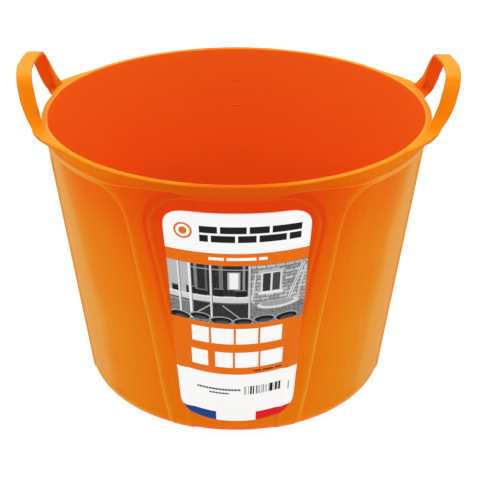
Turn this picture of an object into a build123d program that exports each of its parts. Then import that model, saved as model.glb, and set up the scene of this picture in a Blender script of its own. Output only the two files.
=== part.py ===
from build123d import *
from math import atan, cos, degrees, radians, sin, tan
import os

# Flexible 40 litre mixing tub, about 450 mm across the rim and 337 mm deep.
# Millimetres and degrees, +Z up, origin on the ground at the middle of the base.
# The label faces -Y, the two strap handles stand on the rim at -X and +X.
# Azimuths are measured about Z from the front (-Y) towards +X.

# ---------------------------------------------------------------- rim and wall
HEIGHT = 337.0            # ground to the top of the lip
RIM_R = 225.0             # outside of the rim band
BAND_H = 12.0             # height of the rim band
BAND_Z = HEIGHT - BAND_H  # underside of the band
WALL_FOOT_R = 179.0       # outer wall line carried down to the ground
WALL_TOP_R = 221.5        # outer wall line just under the band
WALL_T = 4.6              # wall at the proud pillars, measured square to the wall
FLOOR_T = 5.0
FOOT_FILLET = 26.5        # outside radius between wall and base
FLOOR_FILLET = 22.0       # inside radius between wall and floor
LIP_ROUND = 1.6           # outer lip edge
LIP_ROUND_IN = 0.9        # inner lip edge
BAND_EDGE_ROUND = 1.0     # lower outer edge of the band
BAND_UNDER_ROUND = 2.0    # soft root under the band

WALL_SLOPE = (WALL_TOP_R - WALL_FOOT_R) / BAND_Z
WALL_COS = cos(atan(WALL_SLOPE))

CORE_TOP = HEIGHT + 20.0  # cones and the hollow run past the lip to this height
REACH = 300.0             # prisms run this far from the axis, past everything outside
FIND_Z_TOL = 0.01         # how closely the inner lip edge must match in height
FIND_R_TOL = 0.05         # and in radius

# ---------------------------------------------------------------- rim ears
EAR_T = 4.2               # thickness of the ears that run into the strap roots
EAR_BACK_R = RIM_R - 4.0  # inner side of an ear, buried in the band
# plan outline of an ear at a handle root: (angle from the handle's axis, radius)
EAR_EDGE = [
    (35.6, RIM_R), (34.3, 226.3), (32.0, 228.3), (29.6, 230.5), (27.0, 232.4), (24.6, 234.6),
    (22.0, 236.2), (20.0, 236.8), (18.0, 236.8), (16.7, 236.7), (15.4, 235.6), (14.4, 233.2),
    (13.4, 230.5), (12.5, 227.9), (11.8, 225.9), (11.2, RIM_R - 2.0),
]

# ---------------------------------------------------------------- panels
PANEL_Z0 = 2.0            # the panels run off into the foot radius

FRONT_RECESS = 2.0        # depth of the label panel and its twin at the back
FRONT_TOP = 320.0         # top edge of the label panel
FRONT_TOP_AZ = 24.9       # half width of the label panel at its top corners
FRONT_CORNER = 38.0       # top corner radius of the label panel
# half outline of the label panel: (azimuth from the panel's middle, height)
FRONT_EDGE = [
    (15.6, PANEL_Z0), (17.8, 100.0), (20.2, 167.0), (21.2, 192.0), (22.1, 221.0),
    (23.0, 242.0), (24.1, 270.0),
]

SIDE_RECESS = 1.6         # depth of the four side panels
SIDE_TOP = 315.4          # top edge of the side panels
SIDE_CUT_AZ = 50.0        # direction in which a side panel is pressed in
SIDE_TOP_AZ = 33.4        # top corner next to the label panel
SIDE_FAR_AZ = 74.0        # far edge of a side panel
SIDE_CORNER_NEAR = 38.0   # radius of the top corner next to the label panel
SIDE_CORNER_FAR = 24.0    # radius of the top corner under the handle
# near edge of a side panel: (azimuth from the middle of the label panel or its twin, height)
SIDE_EDGE = [
    (23.6, PANEL_Z0), (25.3, 39.0), (26.1, 60.0), (26.9, 95.0), (28.1, 148.0),
    (29.7, 200.0), (30.6, 230.0), (31.3, 262.0),
]

# ---------------------------------------------------------------- level marks
MARK_HEIGHTS = (262.0, 296.0)
MARK_HALF_W = 5.5
MARK_HALF_H = 0.7
MARK_PROUD = 0.6          # how far a mark stands off the inner wall
MARK_ROOT = 0.3           # how far a mark is sunk into the wall

# ---------------------------------------------------------------- handles
STRAP_ROOT_T = 9.4        # thickness of a leg at its root, seen along X
STRAP_TOP_T = 3.9         # thickness of the strap from shoulder to shoulder
TAPER_Z0 = HEIGHT + 4.0   # a leg starts to thin out here
TAPER_H = 46.0            # height over which it thins out
PIVOT_Z = HEIGHT + 9.0    # line about which a loop folds
LOOP_STEPS = 24           # stations along the loop
LEAN_SLAB_W = 240.0       # Y extent of the leaning slab, wider than the loop
# centre line of half a loop: (distance from the loop's middle along Y, height)
LOOP = [
    (63.2, PIVOT_Z), (58.7, 361.1), (55.2, 372.1), (51.8, 380.7), (47.0, 387.2),
    (39.2, 391.4), (25.0, 393.7), (0.0, 394.3),
]
# outward lean of the strap: (height, distance of its middle from the tub's axis, width along X)
STRAP_LEAN = [
    (PIVOT_Z, 224.6, 17.2), (356.0, 229.4, 17.9), (365.0, 232.8, 18.1),
    (374.0, 235.5, 17.8), (386.0, 238.2, 17.4), (400.0, 239.8, 17.2),
]

# ---------------------------------------------------------------- label
LABEL_T = 0.35
LABEL_GAP = 0.04          # gap between label and wall
LABEL_AZ = 0.88           # the label sits a touch to the +X side of the panel's middle
# half outline of the label, from the middle of the bottom edge to the middle of the
# top edge: (azimuth from the label's middle, height)
LABEL_EDGE = [
    (0.0, 24.4), (5.0, 25.0), (9.5, 26.6), (13.0, 29.3), (15.4, 32.5), (17.2, 37.0),
    (18.5, 42.5), (19.5, 48.0), (19.95, 54.0), (20.1, 62.0), (20.2, 82.0), (20.45, 110.0),
    (20.75, 180.0), (21.0, 240.0), (21.2, 286.0), (20.9, 291.4), (20.2, 296.0), (18.9, 300.3),
    (17.2, 303.0), (15.4, 304.2), (8.0, 304.1), (0.0, 304.1),
]


# ================================================================ shared geometry
def wall_r(z, inset=0.0):
    """Radius of the outer wall line at height z, moved inwards square to the wall."""
    return WALL_FOOT_R + WALL_SLOPE * z - inset / WALL_COS


def azimuth_plane(azimuth):
    """Plane through the axis whose normal points outwards at an azimuth."""
    angle = radians(azimuth)
    return Plane(
        origin=(0, 0, 0),
        x_dir=(cos(angle), sin(angle), 0),
        z_dir=(sin(angle), -cos(angle), 0),
    )


def closed_face(points, rounds=()):
    """Face in the XY plane inside a closed outline; rounds = [(index, radius)] rounds corners."""
    radii = dict(rounds)
    count = len(points)
    corners = []  # (start, middle, end) of each corner arc; a sharp corner has no middle
    for i, point in enumerate(points):
        corner = Vector(*point)
        if i not in radii:
            corners.append((corner, None, corner))
            continue
        to_prev = (Vector(*points[i - 1]) - corner).normalized()
        to_next = (Vector(*points[(i + 1) % count]) - corner).normalized()
        half = radians(to_prev.get_angle(to_next)) / 2
        setback = radii[i] / tan(half)
        middle = corner + (to_prev + to_next).normalized() * (radii[i] / sin(half) - radii[i])
        corners.append((corner + to_prev * setback, middle, corner + to_next * setback))
    edges = []
    for i, (start, middle, end) in enumerate(corners):
        if middle is not None:
            edges.append(ThreePointArc(start, middle, end))
        following = corners[(i + 1) % count][0]
        if (following - end).length > 1e-6:
            edges.append(Line(end, following))
    return make_face(edges)


def turned(points, rounds):
    """Solid of revolution of a closed (r, z) outline; rounds = [(index, radius)]."""
    return revolve(Plane.XZ * closed_face(points, rounds), axis=Axis.Z)


def inset_core(inset):
    """The outer wall surface moved inwards, as a solid cone with the foot radius."""
    outline = [(0, 0), (wall_r(0, inset), 0), (wall_r(CORE_TOP, inset), CORE_TOP), (0, CORE_TOP)]
    return turned(outline, [(1, FOOT_FILLET)])


def wall_prism(azimuth, outline, rounds=()):
    """Prism from the axis towards an azimuth; outline = (angle from that azimuth, height)."""
    points = [(wall_r(z) * sin(radians(angle)), z) for angle, z in outline]
    return extrude(azimuth_plane(azimuth) * closed_face(points, rounds), amount=REACH)


def front_panel(azimuth, depth, shrink=0.0):
    """Cutter of the label panel, or of that panel drawn in by a small distance."""
    edge = [(angle - degrees(shrink / wall_r(z)), z) for angle, z in FRONT_EDGE]
    top_angle = FRONT_TOP_AZ - degrees(shrink / wall_r(FRONT_TOP))
    top_z = FRONT_TOP - shrink
    outline = [(-angle, z) for angle, z in edge]
    outline += [(-top_angle, top_z), (top_angle, top_z)] + edge[::-1]
    first = len(edge)
    rounds = [(first, FRONT_CORNER), (first + 1, FRONT_CORNER)]
    return wall_prism(azimuth, outline, rounds) - inset_core(depth)


# ================================================================ tub body
def outer_form():
    """Solid outside of the tub: foot radius, wall and rim band."""
    return turned(
        [(0, 0), (WALL_FOOT_R, 0), (WALL_TOP_R, BAND_Z), (RIM_R, BAND_Z), (RIM_R, HEIGHT),
         (0, HEIGHT)],
        [(1, FOOT_FILLET), (2, BAND_UNDER_ROUND), (3, BAND_EDGE_ROUND), (4, LIP_ROUND)],
    )


def ear(side_x, side_y):
    """Ear that widens the top of the band into one strap root."""
    start, end = EAR_EDGE[0][0], EAR_EDGE[-1][0]
    back = [(angle, EAR_BACK_R) for angle in (end, (start + end) / 2, start)]
    outline = [
        (side_x * radius * cos(radians(angle)), side_y * radius * sin(radians(angle)))
        for angle, radius in EAR_EDGE + back
    ]
    return extrude(Plane.XY.offset(HEIGHT - EAR_T) * closed_face(outline), amount=EAR_T)


def side_panel(base, flip, core):
    """Cutter of the side panel on one flank (flip) of the front or back panel at base."""
    half = SIDE_EDGE + [(SIDE_TOP_AZ, SIDE_TOP), (SIDE_FAR_AZ, SIDE_TOP), (SIDE_FAR_AZ, PANEL_Z0)]
    outline = [(flip * (azimuth - SIDE_CUT_AZ), z) for azimuth, z in half]
    first = len(SIDE_EDGE)
    rounds = [(first, SIDE_CORNER_NEAR), (first + 1, SIDE_CORNER_FAR)]
    return wall_prism(base + flip * SIDE_CUT_AZ, outline, rounds) - core


def level_mark(z):
    """Short raised bar on the inside of the back wall."""
    angle = degrees(MARK_HALF_W / wall_r(z, WALL_T))
    low, high = z - MARK_HALF_H, z + MARK_HALF_H
    patch = [(-angle, low), (angle, low), (angle, high), (-angle, high)]
    bar = wall_prism(180.0, patch) & inset_core(WALL_T - MARK_ROOT)
    return bar - inset_core(WALL_T + MARK_PROUD)


def make_tub_body():
    body = outer_form()
    for side_x in (-1, 1):
        for side_y in (-1, 1):
            body = body + ear(side_x, side_y)

    # panels, pressed into the wall between the pillars
    for azimuth in (0.0, 180.0):
        body = body - front_panel(azimuth, FRONT_RECESS)
    side_core = inset_core(SIDE_RECESS)
    for flip in (1, -1):
        for base in (0.0, 180.0):
            body = body - side_panel(base, flip, side_core)

    lip_in = wall_r(HEIGHT, WALL_T)
    hollow = turned(
        [(0, FLOOR_T), (wall_r(FLOOR_T, WALL_T), FLOOR_T), (lip_in, HEIGHT),
         (wall_r(CORE_TOP, WALL_T), CORE_TOP), (0, CORE_TOP)],
        [(1, FLOOR_FILLET)],
    )
    body = body - hollow

    # soft inner edge of the lip; a lip without this circle would stay sharp
    inner_lip = body.edges().filter_by(GeomType.CIRCLE).filter_by(
        lambda edge: abs(edge.center().Z - HEIGHT) < FIND_Z_TOL
        and abs(edge.radius - lip_in) < FIND_R_TOL)
    if inner_lip:
        body = fillet(inner_lip, radius=LIP_ROUND_IN)

    for z in MARK_HEIGHTS:
        body = body + level_mark(z)
    return body


# ================================================================ handles
def strap_t(z):
    """Thickness of the strap at height z, tapering smoothly from root to shoulder."""
    rise = min(1.0, max(0.0, (z - TAPER_Z0) / TAPER_H))
    return STRAP_ROOT_T - (STRAP_ROOT_T - STRAP_TOP_T) * rise * rise * (3 - 2 * rise)


def strip_sketch(first_points, second_points):
    """Area between two splines, closed by straight ends."""
    with BuildSketch(Plane.XY) as strip:
        with BuildLine():
            first = Spline(*first_points)
            second = Spline(*second_points)
            Line(first @ 0, second @ 0)
            Line(first @ 1, second @ 1)
        make_face()
    return strip.sketch


def make_left_handle():
    """The strap loop at -X: its arch seen along X crossed with its lean seen along Y."""
    centre = [(-y, z) for y, z in LOOP] + LOOP[-2::-1]
    path = Spline(*centre)
    outside, inside = [], []
    for i in range(LOOP_STEPS + 1):
        point, tangent = path @ (i / LOOP_STEPS), path % (i / LOOP_STEPS)
        half = strap_t(point.Y) / 2
        outside.append((point.X - tangent.Y * half, point.Y + tangent.X * half))
        inside.append((point.X + tangent.Y * half, point.Y - tangent.X * half))
    arch = extrude(Plane.YZ * strip_sketch(outside, inside), amount=-REACH)

    near_axis = [(-(x - width / 2), z) for z, x, width in STRAP_LEAN]
    far_out = [(-(x + width / 2), z) for z, x, width in STRAP_LEAN]
    lean_plane = Plane.XZ.offset(-LEAN_SLAB_W / 2)
    lean = extrude(lean_plane * strip_sketch(near_axis, far_out), amount=LEAN_SLAB_W)
    loop = arch & lean

    # rounded leg ends on the fold line, as wide as the strap there
    pivot_z, pivot_x, pivot_width = STRAP_LEAN[0]
    for side_y in (-1, 1):
        place = Pos(-pivot_x, side_y * LOOP[0][0], pivot_z) * Rot(90, 0, 0)
        loop = loop + place * Cylinder(pivot_width / 2, strap_t(pivot_z))
    return loop


# ================================================================ label
def wall_envelope(grow):
    """The wall with its label panel, grown outwards."""
    return inset_core(-grow) - front_panel(0.0, FRONT_RECESS - grow, grow)


def make_front_label():
    """Thin film that lies on the wall and follows it down over the panel's edges."""
    ring = LABEL_EDGE + [(-angle, z) for angle, z in LABEL_EDGE[-2:0:-1]]
    ring = [(angle + LABEL_AZ, z) for angle, z in ring]
    film = wall_envelope(LABEL_GAP + LABEL_T) - wall_envelope(LABEL_GAP)
    return wall_prism(0.0, ring) & film


# ================================================================ files
tub_body = make_tub_body()
left_handle = make_left_handle()
right_handle = mirror(left_handle, about=Plane.YZ)
front_label = make_front_label()

os.makedirs("parts", exist_ok=True)
for name, shape in (
    ("tub_body", tub_body),
    ("left_handle", left_handle),
    ("right_handle", right_handle),
    ("front_label", front_label),
):
    solids = shape.solids()
    piece = solids[0] if len(solids) == 1 else Compound(children=list(solids))
    export_step(piece, f"parts/{name}.step")
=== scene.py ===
"""A round moulded tub with two strap handles and a printed label on its front.

The tub stands on z = 0 around the Z axis. Its front faces -Y, the left handle is at -X and the
right one at +X. Meshes are worked out in millimetres and stored in metres. Azimuths are degrees
around the Z axis, 0 at the front and 90 at the right handle.
"""
import math

import bpy
import numpy as np
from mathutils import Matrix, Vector


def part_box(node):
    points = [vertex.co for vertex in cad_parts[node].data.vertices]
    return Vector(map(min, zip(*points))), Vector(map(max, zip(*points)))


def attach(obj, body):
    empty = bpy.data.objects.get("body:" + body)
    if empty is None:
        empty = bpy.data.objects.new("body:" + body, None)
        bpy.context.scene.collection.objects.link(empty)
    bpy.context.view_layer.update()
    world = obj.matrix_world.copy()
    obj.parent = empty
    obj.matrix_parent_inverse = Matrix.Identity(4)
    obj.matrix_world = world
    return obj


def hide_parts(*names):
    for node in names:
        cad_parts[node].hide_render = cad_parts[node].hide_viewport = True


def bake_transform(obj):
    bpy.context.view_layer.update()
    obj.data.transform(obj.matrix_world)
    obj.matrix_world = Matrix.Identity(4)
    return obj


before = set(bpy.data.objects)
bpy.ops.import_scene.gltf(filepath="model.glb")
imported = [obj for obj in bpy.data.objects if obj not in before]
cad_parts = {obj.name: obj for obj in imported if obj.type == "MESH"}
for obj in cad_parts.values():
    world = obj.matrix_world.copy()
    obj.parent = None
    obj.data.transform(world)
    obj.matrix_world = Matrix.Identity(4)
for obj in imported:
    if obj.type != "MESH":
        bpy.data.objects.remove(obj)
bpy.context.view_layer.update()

# ------------------------------------------------------------------ sizes, millimetres
MM = 0.001
_, tub_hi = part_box("tub_body")
LIP_Z = tub_hi.z / MM                 # top of the lip
RIM_R = tub_hi.y / MM                 # outside of the rim band
BAND_DROP = 12.0                      # height below the lip at which the wall slope is set
BAND_STEP = 3.5                       # how far the band stands out from the wall there
FOOT_R = 179.0                        # wall radius carried down to z = 0
SLOPE = (RIM_R - BAND_STEP - FOOT_R) / (LIP_Z - BAND_DROP)
LEAN = math.atan(SLOPE)
COS_LEAN, SIN_LEAN = math.cos(LEAN), math.sin(LEAN)
WALL_T = 4.6
WALL_ACROSS = WALL_T / COS_LEAN       # wall thickness measured level
FLOOR_T = 5.0
FOOT_FILLET = 26.5
FLOOR_FILLET = 22.0
LIP_OUT_FILLET = 1.6
LIP_IN_FILLET = 1.0
FRONT_RECESS = 2.0
SIDE_RECESS = 1.7
LABEL_AZ = 0.88                       # azimuth of the label's middle
INSIDE_TONE = 0.44


# ------------------------------------------------------------------ curves and blends
def ease(x, start, span):
    """Smooth step from 0 at start to 1 at start + span."""
    t = np.clip((x - start) / span, 0.0, 1.0)
    return t * t * (3 - 2 * t)


def bell(x, centre, width):
    return np.exp(-(((x - centre) / width) ** 2))


def lerp(a, b, t):
    return a * (1 - t) + b * t


def unit(vector):
    return vector / np.linalg.norm(vector)


def wall(z):
    """Radius of the plain outer wall."""
    return FOOT_R + SLOPE * np.asarray(z, float)


def inner_wall(z):
    return wall(z) - WALL_ACROSS


def cylindrical(radius, az, z):
    radius, angle, z = np.broadcast_arrays(radius, np.radians(az), z)
    return np.stack([radius * np.sin(angle), -radius * np.cos(angle), z], -1)


def arc_lengths(curve, power=1.0):
    """Running length along a polyline; each step is raised to power."""
    steps = np.linalg.norm(np.diff(curve, axis=0), axis=1) ** power
    return np.concatenate([[0], np.cumsum(steps)])


def resample(curve, lengths, wanted):
    return np.stack([np.interp(wanted, lengths, column) for column in curve.T], -1)


def spline(points, count):
    """Centripetal Catmull-Rom curve through points, resampled to count even steps."""
    def between(a, b, t_a, t_b):
        return (t_b - at) / (t_b - t_a) * a + (at - t_a) / (t_b - t_a) * b

    points = np.array(points, float)
    before, after = 2 * points[0] - points[1], 2 * points[-1] - points[-2]
    padded = np.concatenate([[before], points, [after]])
    pieces = []
    for i in range(len(points) - 1):
        span = padded[i:i + 4]
        t = arc_lengths(span, power=0.5)
        at = np.linspace(t[1], t[2], 24, endpoint=False)[:, None]
        first = [between(span[k], span[k + 1], t[k], t[k + 1]) for k in range(3)]
        second = [between(first[k], first[k + 1], t[k], t[k + 2]) for k in range(2)]
        pieces.append(between(*second, t[1], t[2]))
    curve = np.concatenate(pieces + [points[-1:]])
    lengths = arc_lengths(curve)
    return resample(curve, lengths, np.linspace(0, lengths[-1], count))


# ------------------------------------------------------------------ mesh helpers
def grid_quads(first, last, columns, closed=True):
    """Faces between rows first and last of a vertex grid; closed joins the last column to 0."""
    i, j = np.meshgrid(np.arange(first, last), np.arange(columns if closed else columns - 1),
                       indexing="ij")
    here = i * columns + j
    beside = i * columns + (j + 1) % columns
    return np.stack([here, here + columns, beside + columns, beside], -1).reshape(-1, 4)


def fan(centre, start, count, flip=False):
    """Triangles from a centre vertex to the closed ring of count vertices from start."""
    here = start + np.arange(count)
    beside = np.roll(here, -1)
    if flip:
        here, beside = beside, here
    return np.stack([np.full(count, centre), here, beside], -1)


def make_mesh(name, verts_mm, quads, tris=(), **attributes):
    """Link a smooth mesh object; attributes are per-vertex floats, as arrays or single values."""
    verts = np.asarray(verts_mm, float) * MM
    quads = np.asarray(quads, np.int64)
    tris = np.asarray(tris, np.int64).reshape(-1, 3)
    mesh = bpy.data.meshes.new(name)
    mesh.vertices.add(len(verts))
    mesh.vertices.foreach_set("co", verts.astype(np.float32).ravel())
    corners = np.concatenate([quads.ravel(), tris.ravel()]).astype(np.int32)
    mesh.loops.add(len(corners))
    mesh.loops.foreach_set("vertex_index", corners)
    n_quads, n_tris = len(quads), len(tris)
    starts = np.concatenate([np.arange(n_quads) * 4, n_quads * 4 + np.arange(n_tris) * 3])
    totals = np.concatenate([np.full(n_quads, 4), np.full(n_tris, 3)])
    mesh.polygons.add(n_quads + n_tris)
    mesh.polygons.foreach_set("loop_start", starts.astype(np.int32))
    mesh.polygons.foreach_set("loop_total", totals.astype(np.int32))
    mesh.polygons.foreach_set("use_smooth", np.full(n_quads + n_tris, True))
    mesh.update(calc_edges=True)
    mesh.validate()
    for key, value in attributes.items():
        values = np.array(np.broadcast_to(np.asarray(value, np.float32), (len(verts),)))
        mesh.attributes.new(key, "FLOAT", "POINT").data.foreach_set("value", values)
    ob = bpy.data.objects.new(name, mesh)
    bpy.context.scene.collection.objects.link(ob)
    return ob


# ------------------------------------------------------------------ wall panels
# Side edges of the pressed-in panels, (azimuth, z), from below the foot upwards.
FRONT_EDGE = [(15.0, -40.0), (15.6, 2.0), (17.8, 100.0), (20.2, 167.0), (21.2, 192.0),
              (22.1, 221.0), (23.0, 242.0), (24.1, 270.0)]
SIDE_EDGE = [(22.6, -40.0), (23.6, 2.0), (25.3, 39.0), (26.1, 60.0), (26.9, 95.0),
             (28.1, 148.0), (29.7, 200.0), (30.6, 230.0), (31.3, 262.0)]
FRONT_TOP = [(-24.9, 320.0), (24.9, 320.0)]
SIDE_TOP = [(33.4, 315.4), (74.0, 315.4)]
SIDE_BOTTOM = [(74.0, -40.0)]
SIDE_MIDDLE = 50.0                    # azimuth about which the side panel is flattened
PANEL_CORNER = 38.0
SIDE_FAR_CORNER = 24.0
CORNER_STEPS = 14


def rounded(points, radii):
    """Closed polygon with some corners rounded; radii = {corner index: radius}."""
    out = []
    for i, corner in enumerate(points):
        if i not in radii:
            out.append(corner)
            continue
        back = unit(points[i - 1] - corner)
        ahead = unit(points[(i + 1) % len(points)] - corner)
        half = math.acos(float(np.clip(back @ ahead, -1, 1))) / 2
        reach = radii[i] / math.tan(half)
        centre = corner + unit(back + ahead) * radii[i] / math.sin(half)
        start, end = corner + back * reach - centre, corner + ahead * reach - centre
        angle = math.atan2(start[1], start[0])
        turn = (math.atan2(end[1], end[0]) - angle + math.pi) % (2 * math.pi) - math.pi
        for k in range(CORNER_STEPS + 1):
            t = angle + turn * k / CORNER_STEPS
            out.append(centre + radii[i] * np.array([math.cos(t), math.sin(t)]))
    return np.array(out)


def panel_outline(points, radii, middle):
    """Azimuths and heights of a panel edge, its corners rounded in true millimetres."""
    az, z = np.array(points).T
    flat = np.stack([wall(z) * np.sin(np.radians(az - middle)), z], -1)
    x, z = rounded(flat, radii).T
    return np.degrees(np.arcsin(x / wall(z))) + middle, z


n_front, n_side = len(FRONT_EDGE), len(SIDE_EDGE)
front_outline = panel_outline([(-az, z) for az, z in FRONT_EDGE] + FRONT_TOP + FRONT_EDGE[::-1],
                              {n_front: PANEL_CORNER, n_front + 1: PANEL_CORNER}, middle=0.0)
side_outline = panel_outline(SIDE_EDGE + SIDE_TOP + SIDE_BOTTOM,
                             {n_side: PANEL_CORNER, n_side + 1: SIDE_FAR_CORNER},
                             middle=SIDE_MIDDLE)


def inside_distance(az, z, outline):
    """Signed distance in mm from points on the wall to an outline, positive inside."""
    edge_az, edge_z = outline
    radius = wall(z)
    arc = np.radians(az) * radius
    nearest = np.full(az.shape, 1e9)
    inside = np.zeros(az.shape, bool)
    for i in range(len(edge_az)):
        j = (i + 1) % len(edge_az)
        start_arc, start_z = math.radians(edge_az[i]) * radius, edge_z[i]
        run = math.radians(edge_az[j]) * radius - start_arc
        climb = edge_z[j] - start_z
        t = ((arc - start_arc) * run + (z - start_z) * climb) / (run * run + climb * climb + 1e-12)
        t = np.clip(t, 0, 1)
        squared = (arc - start_arc - t * run) ** 2 + (z - start_z - t * climb) ** 2
        nearest = np.minimum(nearest, squared)
        # a level ray crosses the outline an odd number of times from inside
        spans = (edge_z[i] > z) != (edge_z[j] > z)
        slant = (edge_az[j] - edge_az[i]) / (climb if climb != 0 else 1e-9)
        inside ^= spans & (az < edge_az[i] + (z - start_z) * slant)
    distance = np.sqrt(nearest)
    return np.where(inside, distance, -distance)


def fold(az):
    """Azimuth folded into the quarter from the front (0) to a handle (90)."""
    az = np.abs((np.asarray(az, float) + 180.0) % 360.0 - 180.0)
    return np.where(az > 90.0, 180.0 - az, az)


def recess(folded, z, soften=1.0, bead=0.42):
    """How far the panels are pressed in, square to the wall; bead is the ridge around them."""
    d_front = inside_distance(folded, z, front_outline)
    d_side = inside_distance(folded, z, side_outline)
    depth = np.zeros(folded.shape)
    for distance, full in ((d_front, FRONT_RECESS), (d_side, SIDE_RECESS)):
        depth += full * ease(distance, -0.5, 3.0 * soften)
        depth -= bead * bell(distance, -1.3, 1.15 * soften)
    # the panels run out over the foot radius, which is a little fuller between them
    depth -= 2.0 * (1 - ease(z, 10.0, 16.0)) * (1 - ease(d_front, -3.0, 4.0))
    return depth * ease(z, 0.5, 9.0) * (0.40 + 0.60 * ease(z, 9.0, 22.0))


def wall_surface(folded, z, **panel):
    """Outer wall radius under the band."""
    return wall(z) - recess(folded, z, **panel) / COS_LEAN


# ------------------------------------------------------------------ rim band and ears
# Lower edge of the rim band: folded azimuth, z where it leaves the wall, height of the blend.
BAND_EDGE = np.array([
    (0, 320.4, 9.0), (10, 320.4, 9.0), (12.5, 321.2, 7.5), (14.2, 322.6, 5.5), (16.0, 324.6, 4.0),
    (18.0, 325.4, 3.2), (21.0, 325.4, 3.0), (25.0, 323.8, 3.2), (29.0, 321.8, 3.6),
    (33.0, 319.4, 4.4), (36.0, 317.4, 6.0), (39.0, 316.2, 8.0), (43.0, 315.8, 10.0),
    (60.0, 315.8, 10.0), (66.0, 316.6, 9.0), (70.0, 319.5, 6.0), (73.0, 323.0, 3.6),
    (76.0, 324.8, 2.8), (90.0, 324.8, 2.8)]).T
# The ear under a strap root: degrees from the handle's axis, extra radius.
EAR = np.array([(16.7, 11.8), (20.0, 11.8), (22.0, 11.2), (24.6, 9.6), (27.0, 7.5), (29.6, 5.5),
                (32.0, 3.3), (34.3, 1.3), (36.5, 0.0)]).T
# Its rise beside the hand hole: share of the way to the first ear angle, share of the radius.
EAR_RISE = np.array([(0.0, 0.0), (0.09, 0.06), (0.22, 0.21), (0.39, 0.45), (0.57, 0.68),
                     (0.76, 0.89), (1.0, 1.0)]).T
# Angle from the handle's axis at which each ear starts, by quarter of azimuth from 0.
EAR_STARTS = [9.8, 8.7, 11.3, 10.7]

# Azimuth spacing over a quarter, finest at the panel edges: (from, to, step).
AZ_SPANS = [(0, 10, 1.0), (10, 13.5, 0.5), (13.5, 33.6, 0.27), (33.6, 53, 0.7),
            (53, 71.6, 0.55), (71.6, 82.0, 0.24), (82.0, 90, 0.8)]


def azimuth_grid():
    quarter = [0.0]
    for start, end, step in AZ_SPANS:
        n = max(1, int(round((end - start) / step)))
        quarter += list(start + (end - start) * (np.arange(n) + 1) / n)
    quarter = np.array(quarter)
    return np.concatenate([quarter, 180.0 - quarter[-2::-1], 180.0 + quarter[1:],
                           360.0 - quarter[-2:0:-1]])


AZ = azimuth_grid()
FOLDED = fold(AZ)


def ear_reach():
    """Extra radius of the lip over the azimuth grid."""
    phi = 90.0 - FOLDED
    start = np.select([AZ < 90, AZ < 180, AZ < 270], EAR_STARTS[:3], EAR_STARTS[3])
    return np.interp((phi - start) / (EAR[0, 0] - start), *EAR_RISE) * np.interp(phi, *EAR)


# ------------------------------------------------------------------ tub
# Underside from the middle out, (radius, z): gate boss, shallow dish, then the standing ring.
UNDERSIDE = [(5.0, 1.35), (7.0, 1.4), (7.9, 0.95), (9.0, 0.9), (30, 0.9), (70, 0.9), (110, 0.9),
             (137, 0.9), (138.6, 0.75), (140.0, 0.25), (141.6, 0.0), (148, 0.0)]
BOSS_Z = 1.3


def foot_rows():
    """(radius, z) rows of the underside and the foot radius."""
    centre_r = float(wall(FOOT_FILLET)) - FOOT_FILLET / COS_LEAN
    rows = UNDERSIDE + [(centre_r, 0.0)]
    steps = 15
    for i in range(1, steps):
        angle = -math.pi / 2 + (math.pi / 2 - LEAN) * i / steps
        radius = centre_r + FOOT_FILLET * math.cos(angle)
        z = FOOT_FILLET + FOOT_FILLET * math.sin(angle)
        depth = recess(FOLDED, z)
        rows.append((radius - depth * math.cos(angle), z - depth * math.sin(angle)))
    return rows


def wall_rows(ear):
    """Rows of the outer wall and the rim band, with the gusset that runs out under each ear."""
    heights = np.concatenate([
        np.linspace(FOOT_FILLET - FOOT_FILLET * SIN_LEAN, 256, 84), np.linspace(257.8, 308, 32),
        np.linspace(309, 331, 36), np.linspace(331.4, LIP_Z - 1.7, 12)])
    band_az, band_z, band_blend = BAND_EDGE
    blend_start = np.interp(FOLDED, band_az, band_z)
    blend_span = np.interp(FOLDED, band_az, band_blend)
    gusset_top = LIP_Z - 3.1
    gusset_foot = LIP_Z - 3.9 - np.maximum(0.38 * ear, 0.5)
    rows = []
    for z in heights:
        radius = lerp(wall_surface(FOLDED, z), RIM_R, ease(z, blend_start, blend_span))
        rows.append((radius + ear * ease(z, gusset_foot, gusset_top - gusset_foot), z))
    return rows


def lip_rows(ear):
    outer = RIM_R + ear - LIP_OUT_FILLET
    inner = float(inner_wall(LIP_Z)) + LIP_IN_FILLET
    quarter = [math.pi / 2 * i / 6 for i in range(7)]
    rows = [(outer + LIP_OUT_FILLET * math.cos(t),
             LIP_Z - LIP_OUT_FILLET + LIP_OUT_FILLET * math.sin(t)) for t in quarter]
    rows += [(lerp(outer, inner, k), LIP_Z) for k in (0.2, 0.4, 0.6, 0.8)]
    rows += [(inner - LIP_IN_FILLET * math.sin(t),
              LIP_Z - LIP_IN_FILLET + LIP_IN_FILLET * math.cos(t)) for t in quarter]
    return rows


def inside_rows():
    """Rows of the inside wall, the floor radius and the floor."""
    centre_z = FLOOR_T + FLOOR_FILLET
    centre_r = float(inner_wall(centre_z)) - FLOOR_FILLET / COS_LEAN
    heights = np.linspace(LIP_Z - LIP_IN_FILLET - 1.5, centre_z - FLOOR_FILLET * SIN_LEAN, 46)
    rows = [(float(inner_wall(z)), z) for z in heights]
    steps = 12
    for i in range(1, steps + 1):
        angle = -LEAN - (math.pi / 2 - LEAN) * i / steps
        rows.append((centre_r + FLOOR_FILLET * math.cos(angle),
                     centre_z + FLOOR_FILLET * math.sin(angle)))
    return rows + [(radius, FLOOR_T) for radius in (120, 90, 60, 30, 10, 4)]


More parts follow.
